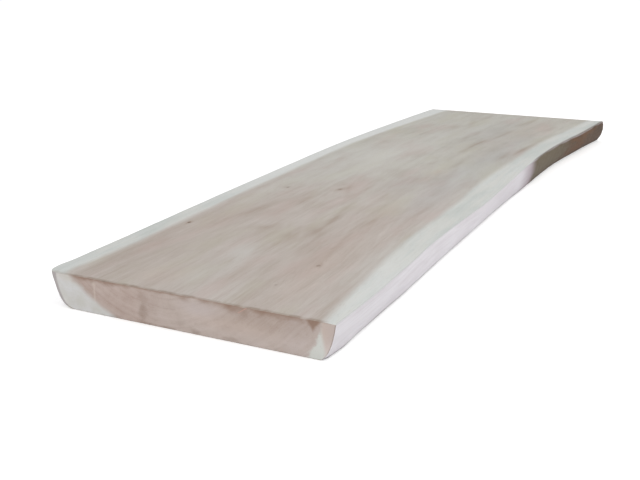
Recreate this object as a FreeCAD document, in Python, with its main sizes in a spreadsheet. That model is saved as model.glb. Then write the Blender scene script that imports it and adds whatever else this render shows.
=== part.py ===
import FreeCAD, Part
import Sketcher
import os

# Live edge table top: one plank sawn right through a hardwood log, flattened on
# both faces, cross-cut square at both ends, with the debarked log surface left on
# the two long sides. X runs along the plank, the flatter live edge is at +Y, the
# flaring one at -Y, and the underside lies at Z = 0.

doc = FreeCAD.newDocument("LiveEdgeTableTop")
dims = doc.addObject("Spreadsheet::Sheet", "dims")

# Overall sizes in millimetres. slab_width is the width between two straight lines
# along the plank, and the live edges wander about those lines.
sizes = {
    "slab_length": 2400,
    "slab_width": 700,
    "slab_thickness": 80,
    "planing_allowance": 3,
    "trim_allowance": 30,
    "left_belly_near": 6,
    "left_belly_far": 7,
    "right_belly_near": 2.5,
    "right_belly_far": 10,
    "left_foot_radius": 24,
    "right_foot_radius": 7,
    "worn_corner_radius": 12,
    "top_arris_radius": 2.5,
    "end_arris_radius": 1.2,
}

# How far each live edge stands outside its straight line at the top face, at nine
# stations spaced evenly from the near end to the far end.
left_wander = [5.5, 17, 25, 33, 38.5, 41.5, 33.5, 18, -11.5]
right_wander = [-15, -10, -18.5, -13, -18.5, -26.5, -16.5, 17, 41]

# How far the foot of each live edge lies inside its top arris, at the same stations.
left_undercut = [29, 27, 25, 25, 27, 28, 25, 26, 25]
right_undercut = [20, 20, 17.5, 28.5, 24.5, 11.5, 19, 28.5, 13]

stations = len(left_wander)
bays = stations - 1

for row, (alias, value) in enumerate(sizes.items(), start=1):
    dims.set("A%d" % row, alias)
    dims.set("B%d" % row, str(value))
    dims.setAlias("B%d" % row, alias)

columns = [
    ("D", "left_wander", left_wander),
    ("E", "right_wander", right_wander),
    ("F", "left_undercut", left_undercut),
    ("G", "right_undercut", right_undercut),
]
for column, name, values in columns:
    dims.set("%s1" % column, name)
    for k, value in enumerate(values):
        cell = "%s%d" % (column, k + 2)
        dims.set(cell, str(value))
        dims.setAlias(cell, "%s_%d" % (name, k + 1))
doc.recompute()

body = doc.addObject("PartDesign::Body", "live_edge_slab")
body.Label = "live_edge_slab"


def origin_plane(role):
    for feature in body.Origin.OriginFeatures:
        if feature.Role == role:
            return feature


def vector(x, y):
    return FreeCAD.Vector(x, y, 0)


def bind(sketch, kind, args, expression, start_value):
    index = sketch.addConstraint(Sketcher.Constraint(kind, *args, start_value))
    sketch.setExpression("Constraints[%d]" % index, expression)


# One cross-section of the rough-sawn plank, square to its length. Its two flanks
# are arcs of the log's surface, bowed outwards by the belly, wider at the top than
# at the foot, and it is thicker than the finished plank by an allowance on each face.
def station_sketch(k):
    sketch = body.newObject("Sketcher::SketchObject", "Station%d" % (k + 1))
    sketch.AttachmentSupport = [(origin_plane("YZ_Plane"), "")]
    sketch.MapMode = "FlatFace"
    place = "dims.slab_length * %g" % (k / bays - 0.5)
    if k == 0:
        place += " - dims.trim_allowance"
    if k == bays:
        place += " + dims.trim_allowance"
    sketch.setExpression("AttachmentOffset.Base.z", place)

    left = sizes["slab_width"] / 2 + left_wander[k]
    right = -sizes["slab_width"] / 2 - right_wander[k]
    left_foot = left - left_undercut[k]
    right_foot = right + right_undercut[k]
    top = sizes["slab_thickness"] + sizes["planing_allowance"]
    low = -sizes["planing_allowance"]
    middle = (top + low) / 2
    left_bulge = (left + left_foot) / 2 + sizes["left_belly_near"]
    right_bulge = (right + right_foot) / 2 - sizes["right_belly_near"]
    right_arc = Part.Arc(vector(right, top), vector(right_bulge, middle), vector(right_foot, low))
    left_arc = Part.Arc(vector(left_foot, low), vector(left_bulge, middle), vector(left, top))
    sketch.addGeometry(Part.LineSegment(vector(left, top), vector(right, top)), False)
    sketch.addGeometry(right_arc, False)
    sketch.addGeometry(Part.LineSegment(vector(right_foot, low), vector(left_foot, low)), False)
    sketch.addGeometry(left_arc, False)

    def end_at(geo, x, y):
        for pos in (1, 2):
            point = sketch.getPoint(geo, pos)
            if abs(point.x - x) < 0.01 and abs(point.y - y) < 0.01:
                return pos

    corners = [
        ((0, 2), (1, end_at(1, right, top))),
        ((1, end_at(1, right_foot, low)), (2, 1)),
        ((2, 2), (3, end_at(3, left_foot, low))),
        ((3, end_at(3, left, top)), (0, 1)),
    ]
    for first, second in corners:
        sketch.addConstraint(Sketcher.Constraint("Coincident", *first, *second))
    sketch.addConstraint(Sketcher.Constraint("Horizontal", 0))
    sketch.addConstraint(Sketcher.Constraint("Horizontal", 2))

    n = k + 1
    left_reach = "dims.slab_width / 2 + dims.left_wander_%d" % n
    right_reach = "dims.slab_width / 2 + dims.right_wander_%d" % n
    bind(sketch, "DistanceY", (-1, 1, 0, 1), "dims.slab_thickness + dims.planing_allowance", top)
    bind(sketch, "DistanceY", (2, 1, -1, 1), "dims.planing_allowance", -low)
    bind(sketch, "DistanceX", (-1, 1, 0, 1), left_reach, left)
    bind(sketch, "DistanceX", (0, 2, -1, 1), right_reach, -right)
    bind(sketch, "DistanceX", (-1, 1, 2, 2), left_reach + " - dims.left_undercut_%d" % n, left_foot)
    bind(sketch, "DistanceX", (2, 1, -1, 1), right_reach + " - dims.right_undercut_%d" % n, -right_foot)

    # An arc of chord c bowed out by b has the radius c * c / (8 b) + b / 2.
    rough = "(dims.slab_thickness + 2 * dims.planing_allowance)"
    for geo, side in ((1, "right"), (3, "left")):
        near, far = "dims.%s_belly_near" % side, "dims.%s_belly_far" % side
        belly = "(%s + (%s - %s) * %g)" % (near, far, near, k / bays)
        undercut = "dims.%s_undercut_%d" % (side, n)
        radius = "(%s ^ 2 + %s ^ 2) / (8 * %s) + %s / 2" % (undercut, rough, belly, belly)
        bind(sketch, "Radius", (geo,), radius, sketch.Geometry[geo].Radius)
    return sketch


sections = [station_sketch(k) for k in range(stations)]
doc.recompute()

# The rough plank: the log's two live flanks run smoothly through the stations.
rough_plank = body.newObject("PartDesign::AdditiveLoft", "RoughPlank")
rough_plank.Profile = sections[0]
rough_plank.Sections = sections[1:]
rough_plank.Ruled = False
doc.recompute()

# Flattening and cross-cutting: what lies outside a rectangle of the finished length
# and thickness, seen from the side, is cut away across the whole width.
cuts = body.newObject("Sketcher::SketchObject", "SawCuts")
cuts.AttachmentSupport = [(origin_plane("XZ_Plane"), "")]
cuts.MapMode = "FlatFace"


def rectangle(sketch, x0, y0, x1, y1):
    ring = [vector(x0, y0), vector(x1, y0), vector(x1, y1), vector(x0, y1)]
    first = sketch.GeometryCount
    for i in range(4):
        sketch.addGeometry(Part.LineSegment(ring[i], ring[(i + 1) % 4]), False)
    for i in range(4):
        sketch.addConstraint(Sketcher.Constraint("Coincident", first + i, 2, first + (i + 1) % 4, 1))
    for i in (0, 2):
        sketch.addConstraint(Sketcher.Constraint("Horizontal", first + i))
        sketch.addConstraint(Sketcher.Constraint("Vertical", first + i + 1))
    return first


half = sizes["slab_length"] / 2
high = sizes["slab_thickness"]
trim = 3 * sizes["trim_allowance"]
plane = 3 * sizes["planing_allowance"]
keep = rectangle(cuts, -half, 0, half, high)
waste = rectangle(cuts, -half - trim, -plane, half + trim, high + plane)
cuts.addConstraint(Sketcher.Constraint("DistanceY", -1, 1, keep, 1, 0))
bind(cuts, "DistanceX", (keep, 1, -1, 1), "dims.slab_length / 2", half)
bind(cuts, "DistanceX", (-1, 1, keep, 2), "dims.slab_length / 2", half)
bind(cuts, "DistanceY", (-1, 1, keep + 2, 1), "dims.slab_thickness", high)
bind(cuts, "DistanceX", (waste, 1, -1, 1), "dims.slab_length / 2 + 3 * dims.trim_allowance", half + trim)
bind(cuts, "DistanceX", (-1, 1, waste, 2), "dims.slab_length / 2 + 3 * dims.trim_allowance", half + trim)
bind(cuts, "DistanceY", (waste, 1, -1, 1), "3 * dims.planing_allowance", plane)
bind(cuts, "DistanceY", (-1, 1, waste + 2, 1), "dims.slab_thickness + 3 * dims.planing_allowance", high + plane)

sawn = body.newObject("PartDesign::Pocket", "FlattenAndCrossCut")
sawn.Profile = cuts
sawn.Midplane = True
sawn.Type = "Length"
sawn.setExpression("Length", "dims.slab_width * 2")
doc.recompute()
if sawn.Shape.Volume > rough_plank.Shape.Volume * 0.999:
    raise RuntimeError("the saw cuts took nothing off")


def round_edges(base, name, alias, test):
    edges = enumerate(base.Shape.Edges, start=1)
    names = ["Edge%d" % number for number, edge in edges if test(edge.BoundBox)]
    fillet = body.newObject("PartDesign::Fillet", name)
    fillet.Base = (base, names)
    fillet.setExpression("Radius", "dims." + alias)
    doc.recompute()
    return fillet


length = dims.slab_length
thick = dims.slab_thickness

# The foot of each live edge rolls under to the flat underside, further on the left.
left_rolled = round_edges(
    sawn, "LeftFootRoll", "left_foot_radius",
    lambda b: b.ZMax < 0.01 and b.XLength > 0.9 * length and b.YMin > 0,
)
rolled = round_edges(
    left_rolled, "RightFootRoll", "right_foot_radius",
    lambda b: b.ZMax < 0.01 and b.XLength > 0.9 * length and b.YMax < 0,
)

# The near left corner is worn round where the live edge meets the end cut.
worn = round_edges(
    rolled, "WornCorner", "worn_corner_radius",
    lambda b: b.XMax < 0.01 - length / 2 and b.YMin > 0 and b.ZLength > 0.6 * thick,
)

# The top arrises are eased, and the straight arrises of the end cuts more lightly.
eased = round_edges(
    worn, "TopArris", "top_arris_radius",
    lambda b: b.ZMin > thick - 0.01 and b.XLength > 0.9 * length,
)
round_edges(
    eased, "EndArris", "end_arris_radius",
    lambda b: b.XLength < 0.01 and b.ZLength < 0.01 and b.YLength > 0.6 * dims.slab_width,
)

# The plank's own frame has its origin under the middle of its bounding box.
box = body.Shape.optimalBoundingBox(False)
body.Placement.Base = FreeCAD.Vector(-box.Center.x, -box.Center.y, -box.ZMin)
doc.recompute()

for item in doc.Objects:
    if "Invalid" in item.State or "Error" in item.State:
        raise RuntimeError("%s failed: %s" % (item.Name, item.State))
if body.Shape.isNull() or not body.Shape.isValid():
    raise RuntimeError("the slab has no valid shape")

os.makedirs("parts", exist_ok=True)
body.Shape.exportStep("parts/live_edge_slab.step")
box = body.Shape.optimalBoundingBox(False)
print("live_edge_slab", len(body.Shape.Solids), "solid,", round(body.Shape.Volume / 1e9, 5), "m3,", box)
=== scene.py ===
import bpy
import math
from functools import partial
import numpy as np
from mathutils import Matrix, Vector


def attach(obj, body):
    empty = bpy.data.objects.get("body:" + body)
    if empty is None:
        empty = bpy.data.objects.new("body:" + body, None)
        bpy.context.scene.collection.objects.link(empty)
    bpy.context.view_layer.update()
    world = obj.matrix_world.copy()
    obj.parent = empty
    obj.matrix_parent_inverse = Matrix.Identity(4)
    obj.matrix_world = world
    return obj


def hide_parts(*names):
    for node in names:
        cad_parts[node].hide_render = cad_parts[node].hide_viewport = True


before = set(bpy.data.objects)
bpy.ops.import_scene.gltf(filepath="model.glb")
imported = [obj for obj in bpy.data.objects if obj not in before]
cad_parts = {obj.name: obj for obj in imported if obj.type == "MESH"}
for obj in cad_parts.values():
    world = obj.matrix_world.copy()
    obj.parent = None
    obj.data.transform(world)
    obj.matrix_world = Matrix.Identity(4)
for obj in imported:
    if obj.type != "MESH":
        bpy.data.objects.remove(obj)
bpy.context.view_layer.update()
mm = 0.001

# All sizes below are millimetres in the frame of the CAD slab: X runs from the near
# end cut to the far one, Y points at the evenly bowed live edge, Z is up.

# The camera that took the photograph, found from the straight sawn lines.
view = {
    "place": (-2619.6, -1019.3, 737.3),
    "yaw": 26.709,
    "pitch": -17.381,
    "roll": 0.323,
    "focalPixels": 915,
    "pixelsWide": 640,
    "sensor": 36,
}


def buildCamera():
    lens = bpy.data.cameras.new("photoCamera")
    lens.sensor_width = view["sensor"]
    lens.lens = view["focalPixels"] * view["sensor"] / view["pixelsWide"]
    camera = bpy.data.objects.new("photoCamera", lens)
    turn = Matrix.Rotation(math.radians(view["yaw"] - 90), 4, "Z")
    tilt = Matrix.Rotation(math.radians(90 + view["pitch"]), 4, "X")
    roll = Matrix.Rotation(math.radians(-view["roll"]), 4, "Z")
    camera.matrix_world = Matrix.Translation(Vector(view["place"]) * mm) @ turn @ tilt @ roll
    bpy.context.scene.collection.objects.link(camera)
    bpy.context.scene.camera = camera


buildCamera()
print("camera set")

# The sawn slab. The nine stations stand evenly along it, the outer two just past the
# end cuts. wander is how far a live edge stands outside its straight line at the top,
# undercut how far its foot lies inside that, belly how far it bows out between them.
# The worn corner is rounder than the solid's by wornMore, and more so towards its top.
slab = {
    "length": 2400,
    "width": 700,
    "thickness": 80,
    "trim": 30,
    "planing": 3,
    "leftWander": [5.5, 17, 25, 33, 38.5, 41.5, 33.5, 18, -11.5],
    "rightWander": [-15, -10, -18.5, -13, -18.5, -26.5, -16.5, 17, 41],
    "leftUndercut": [29, 27, 25, 25, 27, 28, 25, 26, 25],
    "rightUndercut": [20, 20, 17.5, 28.5, 24.5, 11.5, 19, 28.5, 13],
    "leftBelly": (6, 7),
    "rightBelly": (2.5, 10),
    "centring": 2.13,
    "leftFoot": 24,
    "rightFoot": 7,
    "topArris": 2.5,
    "endArris": 1.2,
    "wornCorner": 12,
    "wornMore": 3,
    "wornMoreAtTop": 5,
    "wornFrom": 50,
    "leftSapwood": [47, 55.5, 52, 52, 51, 51, 57, 66, 76],
    "rightSapwood": [25, 59, 69, 74, 82, 66, 66, 71, 54],
    "rowStep": 7.6,
    "columns": 92,
    "layers": 16,
}
half = slab["length"] / 2
top = slab["thickness"]
stations = np.linspace(-half, half, 9)
stations[0] -= slab["trim"]
stations[-1] += slab["trim"]


# A natural cubic spline: between two stations the curve is the cubic whose second
# derivatives at them, bend, solve the usual tridiagonal system, with none at the ends.
def throughStations(values, x):
    values = np.asarray(values, float)
    gap = np.diff(stations)
    slope = np.diff(values) / gap
    n = len(stations)
    system = np.eye(n)
    inner = np.arange(1, n - 1)
    system[inner, inner - 1] = gap[:-1]
    system[inner, inner] = 2 * (gap[:-1] + gap[1:])
    system[inner, inner + 1] = gap[1:]
    load = np.zeros(n)
    load[1:-1] = 6 * np.diff(slope)
    bend = np.linalg.solve(system, load)
    k = np.clip(np.searchsorted(stations, x) - 1, 0, n - 2)
    a = stations[k + 1] - x
    b = x - stations[k]
    h = gap[k]
    cubic = (bend[k] * a**3 + bend[k + 1] * b**3) / (6 * h)
    line = (values[k] / h - bend[k] * h / 6) * a + (values[k + 1] / h - bend[k + 1] * h / 6) * b
    return cubic + line


# Each noise has its own seed, so that one can be changed without the others.
seeds = {
    "left": 10,
    "right": 20,
    "barkFront": 41,
    "barkPeel": 42,
    "chips": 61,
    "smallChips": 62,
    "rings": 71,
    "grain": 81,
}


lattice = 256  # points each way before a noise repeats


# Value noise: random heights on a square lattice, blended with the smoothstep
# 3f^2 - 2f^3 between its points, from -1 to 1. size is the pitch of the lattice in
# millimetres in x and in y. A noise that runs one way only has y at 0.
def softNoise(x, y, size, seed):
    table = np.random.default_rng(seed).uniform(-1, 1, (lattice, lattice))
    u, v = x / size[0], y / size[1]
    iu, iv = np.floor(u).astype(int), np.floor(v).astype(int)
    fu, fv = u - iu, v - iv
    fu, fv = fu * fu * (3 - 2 * fu), fv * fv * (3 - 2 * fv)
    iu, iv, ju, jv = iu % lattice, iv % lattice, (iu + 1) % lattice, (iv + 1) % lattice
    near = table[iu, iv] * (1 - fv) + table[iu, jv] * fv
    far = table[ju, iv] * (1 - fv) + table[ju, jv] * fv
    return near * (1 - fu) + far * fu


# Rises from 0 at low to 1 at high as 3f^2 - 2f^3, where f is the share of the way.
def smoothStep(low, high, value):
    f = np.clip((value - low) / (high - low), 0, 1)
    return f * f * (3 - 2 * f)


# Dark inner bark is left on the right live edge from a soft front to the far end, and
# painted shade deepens it; the soft front and a fainter darkening that runs ahead of it
# are painted shade.
bark = {
    "frontAtTop": 335,
    "frontAtFoot": 318,
    "fade": 92,
    "wave": 8,
    "waveSize": (17, 1),
    "halo": 185,
    "peel": 6,
    "peelSize": (60, 1),
}


# How far a point lies past the bark's front, which slants and waves with the height.
def pastFront(x, z):
    front = bark["frontAtFoot"] + (bark["frontAtTop"] - bark["frontAtFoot"]) * z / top
    return x - front - bark["wave"] * softNoise(z, x * 0, bark["waveSize"], seeds["barkFront"])


# 1 where bark, deepened by painted shade, is left: past the front, and below a strip peeled off under the
# top.
def barkAndShadeCover(x, z):
    peeled = bark["peel"] * (0.55 + 0.45 * softNoise(x, z * 0, bark["peelSize"], seeds["barkPeel"]))
    below = 1 - smoothStep(-peeled, 0.5, z - top)
    return smoothStep(-bark["fade"] / 2, bark["fade"] / 2, pastFront(x, z)) * below


# The painted shade ahead of the bark rises from 0 to 1 over its own length up to the front.
def shadeAheadOfBark(x, z):
    return smoothStep(-bark["halo"], 0, pastFront(x, z))


# Relief of the debarked surface: broad swellings, then long ripples that follow the
# fibres, then fine ones, each value noise stretched along the slab. Where bark is
# left it is rougher, in small flakes. A low burr swells the right live edge out
# towards its near end, most at the top, and its foot is a little worn back but for a
# small swelling. The left live edge leans out at its near end, with a low shoulder
# behind the worn corner, and has a slight hollow further along.
relief = {
    "swell": 1.0,
    "swellSize": (130, 70),
    "ripple": 0.45,
    "rippleSize": (62, 13),
    "fine": 0.2,
    "fineSize": (21, 5.5),
    "flake": 0.7,
    "flakeSize": (15, 8),
    "smallFlakeSize": (9, 5),
    "burr": 5.5,
    "burrLength": 330,
    "burrFrom": -60,
    "footWear": 2.5,
    "footWearHeight": 32,
    "footSwell": 4,
    "footSwellPlace": -1128,
    "footSwellReach": 42,
    "cornerWear": 5,
    "cornerReach": 15,
    "lean": 2.2,
    "leanLength": 260,
    "leanFrom": 50,
    "shoulder": 5,
    "shoulderPlace": -1158,
    "shoulderReach": 30,
    "shoulderFrom": 40,
    "hollow": 2.6,
    "hollowPlace": 800,
    "hollowReach": 190,
}


def liveRelief(x, z, side):
    seed = seeds["left"] if side > 0 else seeds["right"]
    swell = relief["swell"] * softNoise(x, z, relief["swellSize"], seed)
    ripple = relief["ripple"] * softNoise(x, z, relief["rippleSize"], seed + 1)
    fine = relief["fine"] * softNoise(x, z, relief["fineSize"], seed + 2)
    total = swell + ripple + fine
    if side < 0:
        flake = softNoise(x, z, relief["flakeSize"], seed + 3)
        flake = flake + 0.5 * softNoise(x, z, relief["smallFlakeSize"], seed + 4)
        total = total + relief["flake"] * flake * barkAndShadeCover(x, z)
        burr = 1 - smoothStep(-half, -half + relief["burrLength"], x)
        total = total + relief["burr"] * burr * smoothStep(relief["burrFrom"], top, z)
        swelling = np.exp(-(((x - relief["footSwellPlace"]) / relief["footSwellReach"]) ** 2))
        wear = relief["footWear"] - relief["footSwell"] * swelling
        total = total - wear * (1 - smoothStep(0, relief["footWearHeight"], z))
        corner = 1 - smoothStep(-half, -half + relief["cornerReach"], x)
        total = total - relief["cornerWear"] * corner * (1 - smoothStep(0, relief["cornerReach"], z))
    else:
        lean = relief["lean"] * (1 - smoothStep(-half, -half + relief["leanLength"], x))
        total = total + lean * (2 * smoothStep(relief["leanFrom"], top, z) - 1)
        shoulder = np.exp(-(((x - relief["shoulderPlace"]) / relief["shoulderReach"]) ** 2))
        total = total + relief["shoulder"] * shoulder * smoothStep(relief["shoulderFrom"], top, z)
        hollow = np.exp(-(((x - relief["hollowPlace"]) / relief["hollowReach"]) ** 2))
        total = total - relief["hollow"] * hollow
    return total


# The live edge at length x and height z: a straight line from foot to top, plus a
# circular arc of the belly over it, plus the relief. side is 1 for +Y, -1 for -Y. The
# near left corner is then worn back by a quarter circle in plan.
def liveEdge(x, z, side):
    name = "left" if side > 0 else "right"
    wander = throughStations(slab[name + "Wander"], x)
    undercut = throughStations(slab[name + "Undercut"], x)
    nearBelly, farBelly = slab[name + "Belly"]
    belly = nearBelly + (farBelly - nearBelly) * (x + half) / (2 * half)
    rough = top + 2 * slab["planing"]
    share = (z + slab["planing"]) / rough
    line = slab["width"] / 2 + wander - undercut * (1 - share)
    chord = np.hypot(undercut, rough)
    radius = chord**2 / (8 * belly) + belly / 2
    along = (share - 0.5) * chord
    bow = (np.sqrt(radius**2 - along**2) - radius + belly) * chord / rough
    reach = line + bow + liveRelief(x, z, side)
    if side > 0:
        worn = slab["wornCorner"] + slab["wornMore"]
        worn = worn + slab["wornMoreAtTop"] * smoothStep(slab["wornFrom"], top, z)
        short = np.clip(worn - (x + half), 0, worn)
        reach = reach - (worn - np.sqrt(worn**2 - short**2))
    return side * reach + slab["centring"]


# Chips along the top arris of the near end, where the saw broke out splinters.
chips = {"depth": 3.2, "size": (15, 1), "smallSize": (5.5, 1), "reach": 6, "sparse": 0.25, "slope": 0.8}


# The depth is the part of two noises, the smaller one weaker, that rises over sparse.
def chipDepth(y):
    ragged = softNoise(y, y * 0, chips["size"], seeds["chips"])
    ragged = ragged + 0.6 * softNoise(y, y * 0, chips["smallSize"], seeds["smallChips"])
    return chips["depth"] * np.clip(ragged - chips["sparse"], 0, 1)


# Rounds a corner of the section: T runs along the face and F down the live edge, both
# on one quadratic Bezier curve from the face through the sharp corner, and a point m
# in from the edge and e in from the face is T(m) + F(e) - K, where K is the middle.
def roundCorner(y, z, m, e, radius, side, face, corner, foot):
    inward = 1 if face == 0 else -1
    startY, startZ = corner - side * radius, face
    endY, endZ = foot, face + inward * radius

    def onCurve(w):
        a, b, c = (1 - w) ** 2, 2 * w * (1 - w), w * w
        return a * startY + b * corner + c * endY, a * startZ + b * face + c * endZ

    ty, tz = onCurve(0.5 - 0.5 * np.clip(m / radius, 0, 1))
    fy, fz = onCurve(0.5 + 0.5 * np.clip(e / radius, 0, 1))
    ky, kz = onCurve(0.5 + 0 * y)
    near = (m < radius) & (e < radius)
    return np.where(near, ty + fy - ky, y), np.where(near, tz + fz - kz, z)


# The whole skin is one mapping of a box: x along, column c across (0 at -Y, 1 at +Y,
# with inset the distance kept from the nearer edge), height z.
def slabPoint(x, c, inset, z):
    left = liveEdge(x, z, 1)
    right = liveEdge(x, z, -1)
    y = right + (left - right) * c + inset
    fromLeft = left - y
    fromRight = y - right
    for side, m in ((1, fromLeft), (-1, fromRight)):
        footRadius = slab["leftFoot"] if side > 0 else slab["rightFoot"]
        for face, radius in ((top, slab["topArris"]), (0, footRadius)):
            inward = 1 if face == 0 else -1
            corner = liveEdge(x, np.full_like(x, face), side)
            foot = liveEdge(x, np.full_like(x, face + inward * radius), side)
            e = np.abs(z - face)
            y, z = roundCorner(y, z, m, e, radius, side, face, corner, foot)
    # the end arris: the section shrinks by a quarter circle over the last millimetre
    arris = slab["endArris"]
    fromEnd = half - np.abs(x)
    short = np.clip(arris - fromEnd, 0, arris)
    shrink = arris - np.sqrt(arris**2 - short**2)
    z = top / 2 + (z - top / 2) * (1 - shrink / (top / 2))
    middle = (left + right) / 2
    y = middle + (y - middle) * (1 - shrink / (slab["width"] / 2))
    # chips lower the top face towards the near end and set the cut face back below it
    near = np.clip(1 - (x + half) / chips["reach"], 0, 1)
    high = np.clip(1 - (top - z) / chips["reach"], 0, 1)
    depth = chipDepth(y) * near * high
    return np.stack([x + depth * chips["slope"], y, z - depth * chips["slope"]], -1)


# Quads between neighbouring points of a grid whose points are numbered from start.
def gridFaces(rows, columns, start, flip):
    index = start + np.arange(rows * columns).reshape(rows, columns)
    quads = np.stack([index[:-1, :-1], index[1:, :-1], index[1:, 1:], index[:-1, 1:]], -1)
    quads = quads.reshape(-1, 4)
    return quads[:, ::-1] if flip else quads


# The mapping carries six grids onto the box's six sides. kind is the material of each:
# 0 for the sanded faces, 1 for the end grain and 2 for the live edges.
def buildSkin():
    # rows and columns lie closer together towards the arrises
    edgeSteps = np.array([0, 0.8, 1.6, 2.5, 4.5, 8, 12.5, 18, 24])
    endSteps = np.array([0, 0.12, 0.4, 1.2, 2.6, 4.4, 6.5, 9, 12, 16])
    plain = np.arange(-half + endSteps[-1] + 6, half - endSteps[-1], slab["rowStep"])
    xs = np.concatenate([-half + endSteps, plain, (half - endSteps)[::-1]])
    share = np.linspace(0, 1, slab["columns"] - 2 * len(edgeSteps) + 2)[1:-1]
    cs = np.concatenate([0 * edgeSteps, share, 0 * edgeSteps + 1])
    last = edgeSteps[-1]
    insets = np.concatenate([edgeSteps, last - 2 * last * share, -edgeSteps[::-1]])
    footSteps = np.array([0, 2, 4.5, 7.5, 11.5, 16, 20, 24])
    headSteps = np.array([0, 0.8, 1.6, 2.5, 5])
    between = np.linspace(footSteps[-1], top - headSteps[-1], slab["layers"])[1:-1]
    zs = np.concatenate([footSteps, between, (top - headSteps)[::-1]])

    points, faces, kinds = [], [], []
    count = 0

    def addGrid(x, c, inset, z, kind, flip):
        nonlocal count
        x, c, inset, z = np.broadcast_arrays(x, c, inset, z)
        grid = slabPoint(x.astype(float), c, inset, z.astype(float))
        rows, columns = grid.shape[:2]
        points.append(grid.reshape(-1, 3))
        quads = gridFaces(rows, columns, count, flip)
        faces.append(quads)
        kinds.append(np.full(len(quads), kind))
        count += rows * columns

    along, across = xs[:, None], cs[None, :]
    addGrid(along, across, insets[None, :], np.float64(top), 0, False)
    addGrid(along, across, insets[None, :], np.float64(0), 0, True)
    addGrid(along, np.float64(0), np.float64(0), zs[None, :], 2, False)
    addGrid(along, np.float64(1), np.float64(0), zs[None, :], 2, True)
    addGrid(np.float64(-half), cs[:, None], insets[:, None], zs[None, :], 1, True)
    addGrid(np.float64(half), cs[:, None], insets[:, None], zs[None, :], 1, False)

    points = np.concatenate(points)
    faces = np.concatenate(faces)
    kinds = np.concatenate(kinds)
    # the seams are welded where two grids share their outermost points, to half a
    # thousandth of a millimetre
    keys = np.round(points * 2000).astype(np.int64)
    _, first, same = np.unique(keys, axis=0, return_index=True, return_inverse=True)
    return points[first], same.reshape(-1)[faces], kinds


points, faces, kinds = buildSkin()
print("slab skin:", len(points), "points,", len(faces), "faces")

# The heartwood figure. Rings are ovals about the pith, which lies above the top face.
rings = {
    "pithY": 61.6,
    "pithZ": 306,
    "rise": 70,
    "riseLength": 1100,
    "drift": 16,
    "driftSize": (420, 260),
    "flat": 1.12,
    "flatFrom": -50,
    "flatTo": 250,
}


# Distance from the pith line: hypot of the offset across and the height below it,
# where the height counts more on the right side, so that the rings lie flatter.
def ringDistance(x, y, z):
    pithZ = rings["pithZ"] + rings["rise"] * smoothStep(-half, -half + rings["riseLength"], x)
    drift = rings["drift"] * softNoise(x, y, rings["driftSize"], seeds["rings"])
    off = rings["pithY"] - y + drift
    flatter = 1 + (rings["flat"] - 1) * smoothStep(rings["flatFrom"], rings["flatTo"], off)
    drop = (pithZ - z) * flatter
    return np.hypot(off, drop)


# How deep a point lies inside the heartwood, negative in the sapwood. The sapwood is
# as wide as measured at the top face and widens below it, because the log's surface
# turns under there: by spreadLeft and spreadRight at the foot.
heart = {"spreadLeft": 119, "bendLeft": 1.35, "spreadRight": 37, "bendRight": 1.55}


def heartDepth(x, y, z):
    down = np.clip((top - z) / top, 0, 1)
    full = np.full_like(x, top)
    left = liveEdge(x, full, 1) - throughStations(slab["leftSapwood"], x)
    left = left - heart["spreadLeft"] * down ** heart["bendLeft"]
    right = liveEdge(x, full, -1) + throughStations(slab["rightSapwood"], x)
    right = right + heart["spreadRight"] * down ** heart["bendRight"]
    return np.minimum(left - y, y - right)


# Pin knots: place on the top face and size of each, with how far the grain bends.
knots = [
    {"place": (-753, 295.6), "size": 8, "bend": 26, "dark": 0.8},
    {"place": (-915, -157.4), "size": 8, "bend": 24, "dark": 0.38},
    {"place": (-1063, -132.4), "size": 6, "bend": 18, "dark": 0.24},
    {"place": (-318, 244.6), "size": 10, "bend": 30, "dark": 0.45},
    {"place": (-275, 94.6), "size": 9, "bend": 28, "dark": 0.4},
]


# How far the grain strays by itself, and how knots squeeze it aside.
grainFlow = {"drift": 5, "driftSize": (300, 120), "squeeze": 0.8, "knotStretch": 3}


# Along and across the grain. Across is measured from the slab's bowed middle line, and
# near a knot it is squeezed as flow past a post is: v less a share of
# v R^2 / ((u / stretch)^2 + v^2 + R^2), where R is how far the grain bends.
def grainLine(x, y, z):
    full = np.full_like(x, top)
    middle = (liveEdge(x, full, 1) + liveEdge(x, full, -1)) / 2
    v = y - throughStations(np.interp(stations, np.sort(x), middle[np.argsort(x)]), x)
    v = v + grainFlow["drift"] * softNoise(x, y, grainFlow["driftSize"], seeds["grain"])
    for knot in knots:
        du, dv = x - knot["place"][0], y - knot["place"][1]
        reach = knot["bend"] ** 2
        v = v - dv * reach / ((du / grainFlow["knotStretch"]) ** 2 + dv**2 + reach) * grainFlow["squeeze"]
    return np.stack([x, v, z], -1)
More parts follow.
